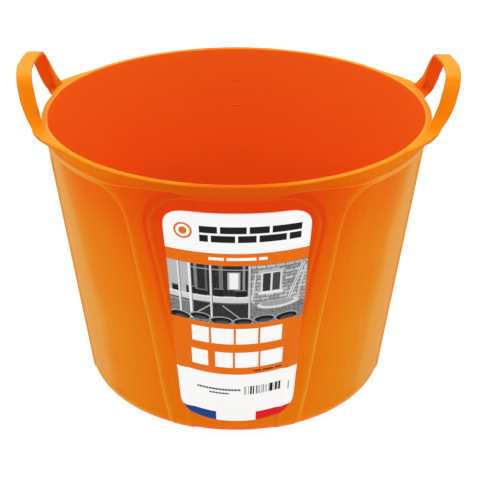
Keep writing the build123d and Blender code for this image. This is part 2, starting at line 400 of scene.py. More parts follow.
def outside_tone(x, z, folded, d_front, d_side, shoulder):
    """Tone of the outer skin: painted light and shade by height and azimuth, and painted highlights
    on the ridges along the panel edges.
    """
    # painted shade: the front deepens from orange at the foot to red under the rim
    front = np.interp(z, [0, 30, 80, 200, 260, 300, 340],
                      [0.66, 0.66, 0.56, 0.36, 0.17, 0.04, 0.0])
    # painted shade inside the label panel, from about 120 mm up
    front = front - 0.20 * ease(d_front, -0.5, 3.0) * ease(z, 120.0, 130.0)
    # painted light and shade on the flanks: pale low down, deeper towards the rim
    flank = np.interp(z, [0, 60, 150, 230, 290, 320], [0.80, 0.79, 0.74, 0.60, 0.46, 0.42])
    # painted light: paler towards the handles, and paler again high on the +X side
    for strength, start, span in ((0.05, 30.0, 15.0), (0.15, 48.0, 18.0), (0.05, 68.0, 8.0)):
        flank = flank + strength * ease(folded, start, span)
    flank = flank + (0.05 + 0.04 * ease(x, 0.0, 100.0)) * ease(z, 150.0, 90.0)
    tone = lerp(front, flank, ease(folded, 12.0, 34.0))
    # painted shade on the pillar beside the label panel, and painted light a little paler away from
    # it
    tone = tone - 0.30 * bell(d_front, -5.6, 3.4) * ease(z, 110.0, 90.0)
    middle = ease(z, 70.0, 60.0) * (1 - ease(z, 250.0, 50.0))
    tone = tone + 0.05 * middle * ease(-d_front, 6.0, 5.0)
    # painted highlights on the ridges along the panel edges
    ridge = 0.14 * bell(d_front, -1.2, 2.2) * (1 - shoulder)
    ridge = ridge + 0.24 * bell(d_side, -1.2, 3.0)
    ridge = ridge + 0.16 * bell(d_side, -5.0, 3.4) * ease(z, 294.0, 10.0)
    tone = tone + ridge * ease(z, 4.0, 20.0)
    # the rim band has its own tone: painted shade in front, paler towards the handles as painted
    # light
    return lerp(tone, 0.27 + 0.48 * ease(folded, 6.0, 50.0), ease(z, 321.0, 9.0))


def tub_shades(verts):
    """Per-vertex tone (0 deep red-orange, 1 yellow-orange) and dim, both carrying painted light and
    shade, and veil (0 in the bowl).
    """
    x, y, z = verts.T
    radius = np.hypot(x, y)
    folded = fold(np.degrees(np.arctan2(x, -y)))
    d_front = inside_distance(folded, z, front_outline)
    d_side = inside_distance(folded, z, side_outline)
    shoulder = ease(z, 285.0, 12.0)
    inner = ease(inner_wall(z) - radius, -2.2, 1.2)
    outer = 1 - inner
    tone = outside_tone(x, z, folded, d_front, d_side, shoulder)
    tone = lerp(tone, INSIDE_TONE, inner)
    # painted highlights: the pale lip and the thin bright line on its inner edge
    lip = ease(z, LIP_Z - 1.7, 1.3) * ease(folded, 3.0, 16.0) * outer
    tone = lerp(tone, np.maximum(tone, 0.86), lip)
    edge = ease(z, LIP_Z - 1.3, 0.7) * ease(inner_wall(LIP_Z) - radius, -2.0, 0.9)
    tone = lerp(tone, 0.95, edge)
    # painted shade: the band in front, the label panel's top bead, the lip over the handles
    dim = ease(z, 323.0, 5.0) * outer * (0.55 - 0.30 * ease(z, LIP_Z - 3.0, 1.5))
    dim = dim * (1 - ease(folded, 18.0, 28.0)) * (1 - 0.35 * ease(x, 0.0, 120.0))
    dim = np.maximum(dim, 0.55 * shoulder * bell(d_front, -1.6, 2.6) * (folded < 45))
    dim = np.maximum(dim, 0.45 * ease(z, 331.0, 4.0) * outer * ease(folded, 58.0, 12.0))
    return {"tone": np.clip(tone, 0.0, 1.0), "veil": np.clip(outer + edge, 0.0, 1.0),
            "dim": np.clip(dim, 0.0, 1.0)}


def settle(verts):
    """The soft rim stands a little in at the left handle and a little out at the right one."""
    x, y, z = verts.T
    radius = np.hypot(x, y) + 1e-9
    phi = np.degrees(np.arctan2(np.abs(y), np.abs(x)))
    weight = (1 - ease(phi, 9.0, 8.0)) * ease(z, 285.0, 40.0) * (radius > 100)
    through = np.clip((radius - inner_wall(z)) / WALL_ACROSS, 0.0, 1.0)
    scale = 1 + np.where(x < 0, -1.2, 0.9 * through) * weight / radius
    return np.stack([x * scale, y * scale, z], -1)


def build_tub():
    ear = ear_reach()
    rows = foot_rows() + wall_rows(ear) + lip_rows(ear) + inside_rows()
    verts = np.concatenate([cylindrical(radius, AZ, z) for radius, z in rows])
    columns = len(AZ)
    bottom, top = len(verts), len(verts) + 1
    verts = np.concatenate([verts, [[0, 0, BOSS_Z], [0, 0, FLOOR_T]]])
    quads = grid_quads(0, len(rows) - 1, columns)[:, [0, 3, 2, 1]]
    tris = np.concatenate([fan(bottom, 0, columns, flip=True),
                           fan(top, (len(rows) - 1) * columns, columns)])
    return make_mesh("tub_shell", settle(verts), quads, tris, **tub_shades(verts))


# ------------------------------------------------------------------ strap handles
# Centre line of each loop from its rear root to its front root:
# distance out from the tub's axis, y, z.
LEFT_LOOP = [
    (217.9, 64.9, 333.6), (218.4, 64.8, 335.9), (220.4, 64.2, 340.9), (222.8, 63.4, 345.5),
    (224.6, 62.2, 350.5), (226.3, 60.7, 355.5), (227.9, 59.2, 360.7), (229.4, 57.6, 365.8),
    (231.0, 55.8, 370.9), (232.4, 53.8, 375.9), (233.6, 51.2, 380.7), (234.6, 47.8, 385.0),
    (235.2, 43.2, 388.0), (235.8, 37.9, 389.8), (236.3, 32.4, 390.6), (236.8, 26.9, 391.0),
    (237.5, 21.3, 391.2), (238.1, 15.8, 391.3), (238.4, 10.2, 391.4), (238.7, 4.6, 391.5),
    (238.8, -1.0, 391.6), (238.8, -6.6, 391.7), (238.7, -12.1, 392.0), (238.5, -17.7, 392.2),
    (238.0, -23.3, 392.4), (237.4, -28.8, 392.4), (236.9, -34.4, 392.1), (236.1, -39.8, 391.1),
    (235.3, -44.9, 388.9), (234.5, -49.1, 385.3), (233.6, -52.1, 380.7), (232.6, -54.2, 375.7),
    (231.5, -56.1, 370.5), (230.0, -57.8, 365.4), (228.3, -59.4, 360.3), (226.3, -60.9, 355.3),
    (224.6, -62.2, 350.4), (222.8, -63.4, 345.5), (220.8, -64.2, 340.9), (218.9, -64.8, 335.9),
    (218.2, -64.9, 333.6)]
RIGHT_LOOP = [
    (219.6, 65.0, 333.6), (220.6, 64.7, 335.8), (224.2, 64.0, 340.3), (227.8, 63.0, 344.9),
    (230.3, 61.5, 349.9), (232.2, 59.8, 355.0), (233.5, 58.1, 360.1), (235.1, 56.4, 365.2),
    (236.5, 54.5, 370.2), (237.7, 52.4, 375.2), (238.7, 49.6, 379.8), (239.4, 45.8, 383.8),
    (240.1, 41.1, 386.6), (240.6, 36.0, 388.6), (240.8, 30.6, 389.8), (240.7, 25.1, 390.9),
    (240.6, 19.7, 391.9), (240.6, 14.2, 392.6), (240.9, 8.7, 393.2), (241.5, 3.2, 393.8),
    (241.9, -2.3, 394.1), (242.4, -7.8, 394.2), (242.8, -13.3, 394.3), (243.0, -18.9, 394.2),
    (243.0, -24.4, 393.6), (243.0, -29.9, 392.7), (242.8, -35.3, 391.6), (242.2, -40.5, 389.9),
    (241.4, -45.3, 387.3), (240.4, -49.2, 383.5), (239.2, -52.1, 378.9), (237.8, -54.2, 374.0),
    (236.3, -56.0, 369.0), (234.6, -57.6, 364.0), (232.5, -59.2, 359.1), (230.1, -60.6, 354.3),
    (227.8, -62.0, 349.7), (225.3, -63.2, 345.1), (222.6, -64.2, 340.6), (220.0, -64.8, 335.8),
    (219.0, -64.9, 333.6)]
ROOT_TURN = math.radians(16.5)
ROOT_FILLET = 15.0
STRAP_CORNER = 1.15
STRAP_CROWN = 0.18
STRAP_CORNER_STEPS = 5
STRAP_FACE_POINTS = 7
# The axis-side edge of a leg stands out near the rim: heights above the lip, shift outwards.
SLIM = ([0.0, 4.0, 8.0, 13.0, 18.0, 24.0, 30.0, 36.0], [5.8, 4.2, 2.6, 1.8, 1.5, 1.0, 0.4, 0.0])
# A web runs from the legs' hole side along the ear. By side (-1 left) and leg (-1 front, 1 rear):
# heights above the lip, draw-in towards the axis, reach along the rim.
WEB = {
    (-1, 1): ([0.0, 1.0, 2.0, 3.0, 4.0, 6.0, 8.5], [8.4, 5.2, 2.9, 1.8, 1.1, 0.4, 0.0],
              [17.2, 13.2, 8.8, 6.0, 4.0, 1.5, 0.0]),
    (-1, -1): ([0.0, 1.0, 2.0, 3.0, 4.0, 6.0, 8.5], [8.4, 5.2, 2.9, 1.8, 1.1, 0.4, 0.0],
               [19.4, 14.0, 9.0, 6.2, 4.2, 1.5, 0.0]),
    (1, 1): ([0.0, 0.7, 2.0, 4.0, 7.0, 11.0, 15.0, 20.0],
             [6.4, 3.3, 0.6, -0.4, -0.4, 0.0, 0.0, 0.0],
             [27.4, 20.6, 15.2, 10.2, 6.4, 3.7, 1.7, 0.0]),
    (1, -1): ([0.0, 0.7, 2.0, 4.0, 7.0, 11.0, 15.0], [6.2, 3.2, 0.8, 0.0, 0.0, 0.0, 0.0],
              [23.6, 16.5, 9.5, 5.5, 2.8, 1.0, 0.0]),
}
REAR_SPREAD = {-1: 10.5, 1: 7.0}      # how far the rear leg's outer face runs back, by side


def strap_section(half_wide, inner, outer):
    """Rounded section: x across the strap, y from the loop's inside (-inner) to its outside."""
    half_flat = half_wide - STRAP_CORNER
    points = []
    for sign, face, start in ((1, outer, 0), (-1, -inner, 180)):
        def corner(x, first):
            for k in range(STRAP_CORNER_STEPS + 1):
                a = math.radians(first + 90 * k / STRAP_CORNER_STEPS)
                points.append((x + STRAP_CORNER * math.cos(a),
                               face - sign * STRAP_CORNER + STRAP_CORNER * math.sin(a)))

        corner(sign * half_flat, start)
        for k in range(1, STRAP_FACE_POINTS + 1):
            t = 2 * k / (STRAP_FACE_POINTS + 1) - 1
            points.append((-half_flat * t * sign, face + sign * STRAP_CROWN * (1 - t ** 2)))
        corner(-sign * half_flat, start + 90)
    return np.array(points)


def strap_stations(points):
    """Centres, unit tangents and distances to the nearer end along a loop."""
    curve = spline(points, 400)
    lengths = arc_lengths(curve)
    total = lengths[-1]
    # closer stations near the rim, where the root fillet turns quickly
    root = np.concatenate([np.linspace(0, 4.0, 9),
                           4.0 + 17.0 * (1 - np.cos(np.linspace(0.08, math.pi / 2, 20)))])
    along = np.concatenate([root, np.linspace(root[-1], total - root[-1], 140)[1:-1],
                            (total - root)[::-1]])
    centres = resample(curve, lengths, along)
    tangents = np.gradient(centres, axis=0) / np.gradient(along)[:, None]
    for _ in range(3):
        tangents[1:-1] = (tangents[:-2] + 2 * tangents[1:-1] + tangents[2:]) / 4
    tangents /= np.linalg.norm(tangents, axis=1, keepdims=True)
    return centres, tangents, np.minimum(along, total - along)


def strap_axes(centre, tangent, height, rear):
    """Unit vectors across the strap and out of the loop."""
    turn = ROOT_TURN * (1 - ease(height, 1.0, 45.0)) * rear * ease(abs(centre[1]), 20.0, 20.0)
    level = np.array([math.cos(turn), math.sin(turn), 0.0])
    square = unit(level - (level @ tangent) * tangent)
    across = unit(lerp(level, square, ease(height, 0.0, 12.0)))
    out = unit(np.cross(across, tangent))
    away = np.array([0, rear, 0.0]) if abs(centre[1]) > 30 else np.array([0, 0, 1.0])
    if out @ away < 0:
        out = -out
    if height < 14:
        # close to the rim the section is level, so that its foot lies flat on the ear
        level_out = np.array([-across[1], across[0], 0.0]) * rear
        out = unit(lerp(level_out, out, ease(height, 2.0, 12.0)))
    return across, out


def quarter_round(t):
    """Falls from 1 at t = 0 to 0 at t = 1 along a concave quarter circle."""
    return 1 - math.sqrt(max(0.0, 1 - (1 - t) ** 2))


def root_flare(height):
    """Extra thickness on the outside of the loop at the root fillet."""
    if height >= ROOT_FILLET:
        return 0.0
    if height < -0.4:
        return ROOT_FILLET * ease(height, -2.6, 2.0)
    return ROOT_FILLET * quarter_round((height + 0.4) / ROOT_FILLET)


def shape_root(ring, outboard, hole, height, side, rear):
    """Shift a leg's ring; outboard is 1 on its edge away from the axis, hole 1 on its hole side."""
    low = 1 - ease(height, 0.0, 9.0)
    web_heights, web_in, web_along = WEB[side, rear]
    ring[:, 0] += np.interp(height, *SLIM) * (1 - outboard)
    ring[:, 0] -= np.interp(height, web_heights, web_in) * outboard * hole
    ring[:, 1] -= np.interp(height, web_heights, web_along) * outboard * hole * rear
    ring[:, 1] += 3.5 * low * (1 - outboard) * hole * rear
    if rear > 0:
        spread = REAR_SPREAD[side] * max(0.0, 1 - max(height, 0.0) / 42.0) ** 1.4
        ring[:, 1] += spread * (1 - hole) * (1 - 0.85 * outboard)
        ring[:, 0] -= 3.2 * low * outboard * (1 - hole)


def build_strap(name, side, points):
    """Sweep one loop on the +X side, then carry it to its side (-1 left, 1 right)."""
    rings, tones, dims = [], [], []
    for centre, tangent, to_end in zip(*strap_stations(points)):
        height = centre[2] - LIP_Z
        rear = 1 if centre[1] > 0 else -1
        across, out = strap_axes(centre, tangent, height, rear)
        thick = 9.4 - 5.5 * ease(height, 4.0, 46.0)
        wide = 18.4 - 1.1 * ease(height, 0.0, 56.0) - 1.3 * (1 - ease(height, 6.0, 14.0))
        section = strap_section(wide / 2, thick / 2, thick / 2 + root_flare(height))
        section *= 1 - 0.10 * quarter_round(min(to_end / 1.3, 1.0))
        from_hole = section[:, 1] + thick / 2
        ring = centre + section[:, :1] * across + section[:, 1:] * out
        dim = np.zeros(len(section))
        if height < 36 and abs(centre[1]) > 20:
            outboard = np.clip(section[:, 0] / wide + 0.5, 0, 1)
            hole = 1 - np.clip(from_hole / thick, 0, 1)
            shape_root(ring, outboard, hole, height, side, rear)
            # painted shade on the hole side of the leg, low down where it meets the ear
            dim = 0.45 * (1 - ease(height, 2.0, 7.0)) * hole
        # painted light and shade: deep red on the loop's hole side, pale outside, palest on top of
        # the loop
        top = ease(abs(out[2]), 0.825, 0.13) if height > 30 else 0.0
        rings.append(ring)
        dims.append(dim)
        tones.append(0.20 + (0.54 + 0.24 * top) * ease(from_hole, 0.3, 1.7))
    columns = len(rings[0])
    last = (len(rings) - 1) * columns
    first_cap = len(rings) * columns
    verts = np.concatenate(rings + [[rings[0].mean(0)], [rings[-1].mean(0)]])
    verts[:, 0] *= side
    quads = grid_quads(0, len(rings) - 1, columns)
    tris = np.concatenate([fan(first_cap, 0, columns),
                           fan(first_cap + 1, last, columns, flip=True)])
    if side < 0:
        quads, tris = quads[:, ::-1], tris[:, ::-1]
    return make_mesh(name, verts, quads, tris, tone=np.concatenate(tones + [[0.5, 0.5]]),
                     veil=1.0, dim=np.concatenate(dims + [[0.0, 0.0]]))


# ------------------------------------------------------------------ label
# Right half of the label's edge from bottom to top: degrees from its middle, z.
LABEL_EDGE = [
    (0.0, 24.4), (5.0, 25.0), (9.5, 26.6), (13.0, 29.3), (15.4, 32.5), (17.2, 37.0),
    (18.5, 42.5), (19.5, 48.0), (19.95, 54.0), (20.1, 62.0), (20.2, 82.0), (20.45, 110.0),
    (20.75, 180.0), (21.0, 240.0), (21.2, 286.0), (20.9, 291.4), (20.2, 296.0), (18.9, 300.3),
    (17.2, 303.0), (15.4, 304.2), (8.0, 304.1), (0.0, 304.1)]
EDGE_MM_PER_DEGREE = 3.6
LABEL_CENTRE_Z = 165.0
LABEL_RINGS = 74
LABEL_GAP = 0.08
LABEL_T = 0.30
LABEL_EDGE_SHARE = 0.35               # thickness left at the very edge


def build_label():
    """Film of nested rings lying over the front panel, with a skin on both faces."""
    edge = spline([(az * EDGE_MM_PER_DEGREE, z) for az, z in LABEL_EDGE], 170)
    edge[:, 0] /= EDGE_MM_PER_DEGREE
    ring = np.concatenate([edge, edge[-2:0:-1] * (-1, 1)])
    columns = len(ring)
    share = (np.arange(LABEL_RINGS + 1) / LABEL_RINGS)[:, None]
    az = (ring[:, 0] * share).ravel() + LABEL_AZ
    z = (LABEL_CENTRE_Z + (ring[:, 1] - LABEL_CENTRE_Z) * share).ravel()
    # the film bridges the panel edges softly but never dips into the wall
    base = wall_surface(fold(az), z, soften=3.0, bead=0.0)
    base = np.maximum(base, wall_surface(fold(az), z)) + LABEL_GAP
    thick = np.full(len(az), LABEL_T)
    thick[-columns:] *= LABEL_EDGE_SHARE
    verts = np.concatenate([cylindrical(base + thick, az, z), cylindrical(base - 0.02, az, z)])
    back = len(az)
    face = grid_quads(1, LABEL_RINGS, columns)
    here = LABEL_RINGS * columns + np.arange(columns)
    beside = np.roll(here, -1)
    rim = np.stack([here, back + here, back + beside, beside], -1)
    quads = np.concatenate([face, face[:, ::-1] + back, rim])
    tris = np.concatenate([fan(0, columns, columns),
                           fan(back, back + columns, columns, flip=True)])
    # the centre ring is one point: drop its spare copies
    keep = np.ones(len(verts), bool)
    keep[1:columns] = False
    keep[back + 1:back + columns] = False
    index = np.cumsum(keep) - 1
    return make_mesh("label_film", verts[keep], index[quads], index[tris])


# ------------------------------------------------------------------ level marks
MARK_HEIGHTS = (262.0, 296.0)
MARK_HALF_WIDE, MARK_HALF_HIGH = 5.6, 0.85
MARK_LIFT = 0.55
MARK_SINK = 0.12                      # its edges are sunk this far into the wall
MARK_BACK = 0.6


def build_mark(name, middle_z):
    """A short raised bar inside the back wall."""
    u, v = np.meshgrid(np.linspace(-1, 1, 25), np.linspace(-1, 1, 9))
    z = middle_z + v * MARK_HALF_HIGH
    lift = MARK_LIFT * (1 - np.maximum(np.abs(v) ** 3, np.abs(u) ** 12)) - MARK_SINK
    verts = []
    for radius in (inner_wall(z) - lift, inner_wall(z) + MARK_BACK):
        az = 180.0 + np.degrees(u * MARK_HALF_WIDE / radius)
        verts.append(cylindrical(radius, az, z).reshape(-1, 3))
    face = grid_quads(0, u.shape[0] - 1, u.shape[1], closed=False)
    grid = np.arange(u.size).reshape(u.shape)
    border = np.concatenate([grid[0, :-1], grid[:-1, -1], grid[-1, :0:-1], grid[:0:-1, 0]])
    beside = np.roll(border, -1)
    sides = np.stack([border, beside, beside + u.size, border + u.size], -1)
    quads = np.concatenate([face, face[:, ::-1] + u.size, sides])
    return make_mesh(name, np.concatenate(verts), quads, tone=INSIDE_TONE, veil=0.0, dim=0.0)


# ------------------------------------------------------------------ materials
class Shader:
    """A material around one Principled BSDF; methods add a node and return its output."""

    def __init__(self, name):
        self.material = bpy.data.materials.new(name)
        self.material.use_nodes = True
        self.tree = self.material.node_tree
        self.tree.nodes.clear()
        output = self.node("OutputMaterial")
        self.bsdf = self.node("BsdfPrincipled")
        self.tree.links.new(self.bsdf.outputs[0], output.inputs[0])

    def node(self, kind):
        return self.tree.nodes.new("ShaderNode" + kind)

    def put(self, value, socket):
        if isinstance(value, bpy.types.NodeSocket):
            self.tree.links.new(value, socket)
        else:
            socket.default_value = value

    def surface(self, values):
        for key, value in values.items():
            self.put(value, self.bsdf.inputs[key])

    def math(self, operation, *values, clamp=False):
        node = self.node("Math")
        node.operation = operation
        node.use_clamp = clamp
        for value, socket in zip(values, node.inputs):
            self.put(value, socket)
        return node.outputs[0]

    def centred(self, value, gain):
        """A 0 to 1 value turned into a swing about zero."""
        return self.math("MULTIPLY", self.math("SUBTRACT", value, 0.5), gain)

    def vector(self, operation, *values):
        node = self.node("VectorMath")
        node.operation = operation
        for value, socket in zip(values, node.inputs):
            self.put(value, socket)
        return node.outputs["Value" if operation in ("LENGTH", "DOT_PRODUCT") else "Vector"]

    def combine(self, x, y, z=0.0):
        node = self.node("CombineXYZ")
        for value, socket in zip((x, y, z), node.inputs):
            self.put(value, socket)
        return node.outputs[0]

    def stretched(self, a, b, a_scale, b_scale):
        return self.combine(self.math("MULTIPLY", a, a_scale), self.math("MULTIPLY", b, b_scale))

    def mix(self, factor, a, b, colour=True):
        node = self.node("Mix")
        node.data_type = "RGBA" if colour else "FLOAT"
        first = 6 if colour else 2
        self.put(factor, node.inputs[0])
        self.put(a, node.inputs[first])
        self.put(b, node.inputs[first + 1])
        return node.outputs[2 if colour else 0]

    def noise(self, vector, scale, detail=3.0, rough=0.5, distortion=0.0):
        node = self.node("TexNoise")
        for key, value in (("Vector", vector), ("Scale", scale), ("Detail", detail),
                           ("Roughness", rough), ("Distortion", distortion)):
            self.put(value, node.inputs[key])
        return node.outputs[0]

    def ramp(self, factor, stops):
        node = self.node("ValToRGB")
        elements = node.color_ramp.elements
        while len(elements) < len(stops):
            elements.new(0.5)
        for element, (position, colour) in zip(elements, stops):
            element.position = position
            element.color = (*colour, 1)
        self.put(factor, node.inputs[0])
        return node.outputs[0]

    def bump(self, height, strength, distance, normal=None):
        node = self.node("Bump")
        node.inputs["Strength"].default_value = strength
        node.inputs["Distance"].default_value = distance
        self.put(height, node.inputs["Height"])
        if normal is not None:
            self.put(normal, node.inputs["Normal"])
        return node.outputs[0]

    def attribute(self, name):
        node = self.node("Attribute")
        node.attribute_name = name
        return node.outputs["Fac"]

    def position(self):
        return self.node("TexCoord").outputs["Object"]

    def separate(self, vector):
        node = self.node("SeparateXYZ")
        self.put(vector, node.inputs[0])
        return node.outputs[:3]


INSIDE_DARK = (0.905, 0.134, 0.0120, 1)
INSIDE_LIGHT = (0.930, 0.164, 0.0140, 1)
# painted shade colour for deep in the bowl
INSIDE_SHADED = (0.800, 0.138, 0.0140, 1)
# painted shade brown, mixed in where dim is set
SHADE_BROWN = (0.50, 0.115, 0.004, 1)
# Outer colours, (tone, colour).
TUB_STOPS = [(0.0, (0.82, 0.054, 0.0040)), (0.5, (0.84, 0.134, 0.0025)),
             (0.85, (0.82, 0.235, 0.0040)), (1.0, (0.80, 0.325, 0.0360))]
STRAP_STOPS = [(0.0, (0.86, 0.054, 0.0040)), (0.45, (0.86, 0.130, 0.0020)),
               (0.74, (0.87, 0.215, 0.0010)), (0.96, (0.665, 0.285, 0.0280))]


def plastic(name, stops):
    """Moulded polyethylene: tone picks the colour outside, painted light and shade included; veil
    is 0 inside the bowl.
    """
    g = Shader(name)
    point = g.position()
    x, y, z = g.separate(point)
    az = g.math("ARCTAN2", x, y)
    # slow colour clouds, fine flow lines that run down the wall, and a brushed streak
    clouds = g.noise(point, scale=7.0, detail=2.0)
    flow = g.noise(g.stretched(az, z, 14.0, 2.2), scale=3.0, detail=4.0, rough=0.6)
    brushed = g.noise(g.stretched(az, z, 26.0, 12.0), scale=2.0, detail=4.0, rough=0.6,
                      distortion=0.8)
    drift = g.math("ADD", g.centred(clouds, gain=0.17), g.centred(flow, gain=0.15))
    drift = g.math("ADD", drift, g.centred(brushed, gain=0.15))
    # painted sheen: faces seen at a grazing angle turn pale
    look = g.node("LayerWeight")
    look.inputs["Blend"].default_value = 0.5
    grazing_sheen = g.math("SUBTRACT", look.outputs["Facing"], 0.52, clamp=True)
    grazing_sheen = g.math("POWER", g.math("MULTIPLY", grazing_sheen, 2.1, clamp=True), 1.75)
    tone = g.math("ADD", g.attribute("tone"), drift)
    tone = g.math("ADD", tone, g.math("MULTIPLY", grazing_sheen, 0.80), clamp=True)
    inside = g.mix(g.math("MULTIPLY_ADD", drift, 2.4, 0.5, clamp=True), INSIDE_DARK, INSIDE_LIGHT)
    # painted shade: the bowl darkens below 0.215 m
    deep = g.math("MULTIPLY", g.math("SUBTRACT", 0.215, z, clamp=True), 16.0)
    deep = g.math("SMOOTH_MIN", deep, 1.0, 0.3)
    inside = g.mix(g.math("MULTIPLY", deep, 0.9, clamp=True), inside, INSIDE_SHADED)
    # dim mixes in a painted shade brown
    outside = g.mix(g.math("MULTIPLY", g.attribute("dim"), 0.6), g.ramp(tone, stops), SHADE_BROWN)
    # satin moulded skin with light handling scuffs
    grain = g.noise(point, scale=900.0, detail=2.0, rough=0.55)
    cells = g.noise(point, scale=260.0, rough=0.6)
    scuff = g.noise(g.vector("MULTIPLY", point, (60.0, 60.0, 14.0)), scale=3.0, detail=5.0,
                    rough=0.7)
    rough = g.math("ADD", 0.36, g.centred(cells, gain=0.10))
    normal = g.bump(grain, strength=0.10, distance=0.0004)
    normal = g.bump(cells, strength=0.10, distance=0.0006, normal=normal)
    normal = g.bump(flow, strength=0.06, distance=0.0012, normal=normal)
    g.surface({
        "Base Color": g.mix(g.attribute("veil"), inside, outside),
        "Roughness": g.math("ADD", rough, g.centred(scuff, gain=0.12), clamp=True),
        "Normal": normal,
        "IOR": 1.46,
        "Specular IOR Level": 0.010,
        "Specular Tint": (1.0, 0.60, 0.20, 1),
    })
    return g.material


# ------------------------------------------------------------------ label print
WHITE = (0.95, 0.95, 0.945, 1)
ORANGE = (0.80, 0.155, 0.002, 1)
INK = (0.012, 0.012, 0.014, 1)
GREY_INK = (0.07, 0.07, 0.075, 1)
DARK_RED = (0.10, 0.012, 0.006, 1)
BLUE = (0.010, 0.055, 0.24, 1)
RED = (0.74, 0.008, 0.014, 1)
PRINT_MM_PER_DEGREE = (3.72, 1.0, 0)


def course(low, high, *spans):
    """Boxes (left, right, low, high) side by side at one height."""
    return [(left, right, low, high) for left, right in spans]


class LabelPrint(Shader):
    """Print laid out in u, degrees right of the label's middle, and v, height in mm."""

    def __init__(self, name):
        super().__init__(name)
        self.point = self.position()
        x, y, z = self.separate(self.point)
        az = self.math("DEGREES", self.math("ARCTAN2", x, self.math("MULTIPLY", y, -1.0)))
        self.u = self.math("SUBTRACT", az, LABEL_AZ)
        height = self.math("MULTIPLY", z, 1000.0)
        # the printed rows bow down towards the middle, more so lower on the wall
        bow = self.math("MULTIPLY_ADD", self.math("SUBTRACT", 255.0, height), 0.000095, 0.006)
        drop = self.math("MULTIPLY", bow, self.math("MULTIPLY", self.u, self.u))
        self.v = self.math("SUBTRACT", height, drop)
        self.uv = self.combine(self.u, self.v)
        self.colour = WHITE
        self.grey = None

    def within(self, value, low, high):
        return self.math("COMPARE", value, (low + high) / 2, (high - low) / 2)

    def stripe(self, low, high):
        return self.within(self.v, low, high)

    def box(self, left, right, low, high):
        return self.math("MULTIPLY", self.within(self.u, left, right), self.stripe(low, high))

    def boxes(self, table):
        mask = self.box(*table[0])
        for row in table[1:]:
            mask = self.math("MAXIMUM", mask, self.box(*row))
        return mask

    def ellipse(self, u, v, u_radius, v_radius):
        offset = self.vector("SUBTRACT", self.uv, (u, v, 0))
        offset = self.vector("MULTIPLY", offset, (1 / u_radius, 1 / v_radius, 0))
        return self.math("LESS_THAN", self.vector("LENGTH", offset), 1.0)

    def bar(self, u, v, length, width, angle):
        """Slanted bar; length and width in mm, angle in degrees from level."""
        offset = self.vector("SUBTRACT", self.uv, (u, v, 0))
        offset = self.vector("MULTIPLY", offset, PRINT_MM_PER_DEGREE)
        cos, sin = math.cos(math.radians(angle)), math.sin(math.radians(angle))
        along = self.vector("DOT_PRODUCT", offset, (cos, sin, 0))
        across = self.vector("DOT_PRODUCT", offset, (-sin, cos, 0))
        return self.math("MULTIPLY", self.within(along, -length / 2, length / 2),
                         self.within(across, -width / 2, width / 2))

    def ink(self, mask, colour):
        self.colour = self.mix(mask, self.colour, colour)

    def shade(self, shape, table):
        """Paint the grey picture; each row is the shape's arguments and then a grey."""
        for *place, grey in table:
            self.grey = self.mix(shape(*place), self.grey, grey, colour=False)


def print_bands(g):
    """Orange bands, the header and the light blocks on the orange."""
    g.ink(g.stripe(239.2, 254.6), ORANGE)
    g.ink(g.stripe(92.4, 163.0), ORANGE)
    # a disc in a ring, and two courses of dark blocks beside it
    ring = g.math("SUBTRACT", g.ellipse(-15.4, 279.8, 2.70, 10.0),
                  g.ellipse(-15.4, 279.8, 2.05, 7.6), clamp=True)
    g.ink(g.math("MAXIMUM", g.ellipse(-15.4, 279.8, 1.2, 4.5), ring), ORANGE)
    g.ink(g.boxes(
        course(279.2, 287.6, (-10.7, -5.6), (-4.8, 2.6), (3.4, 9.0), (9.8, 18.3))
        + course(268.3, 276.7, (-10.7, -8.2), (-7.4, -0.6), (0.2, 5.4), (6.2, 14.0),
                 (14.8, 18.3))), INK)
    # a small light line in the orange band
    g.ink(g.boxes(course(245.8, 249.4, (-8.3, -3.8), (-3.1, 5.5), (6.2, 8.7))), WHITE)
    # two rows of light blocks in the big orange field, and a small dark line under them
    g.ink(g.boxes(
        course(135.0, 156.2, (-14.5, -9.0), (-8.3, -1.1), (-0.4, 6.7), (7.4, 14.4))
        + course(102.2, 123.4, (-15.0, -9.6), (-7.2, -1.4), (-0.7, 7.0), (7.7, 15.1))), WHITE)
    g.ink(g.boxes(course(95.8, 97.8, (5.6, 8.1), (8.6, 12.2), (12.8, 15.0))), DARK_RED)


def brick_pattern(g):
    brick = g.node("TexBrick")
    for key, value in (("Scale", 1.0), ("Brick Width", 10.5), ("Row Height", 4.6),
                       ("Mortar Size", 0.45), ("Mortar Smooth", 0.2), ("Bias", 0.0),
                       ("Color1", (0.26, 0.26, 0.26, 1)), ("Color2", (0.58, 0.58, 0.58, 1)),
                       ("Mortar", (0.10, 0.10, 0.10, 1)),
                       ("Vector", g.vector("MULTIPLY", g.uv, PRINT_MM_PER_DEGREE))):
        g.put(value, brick.inputs[key])
    return brick.outputs["Color"]


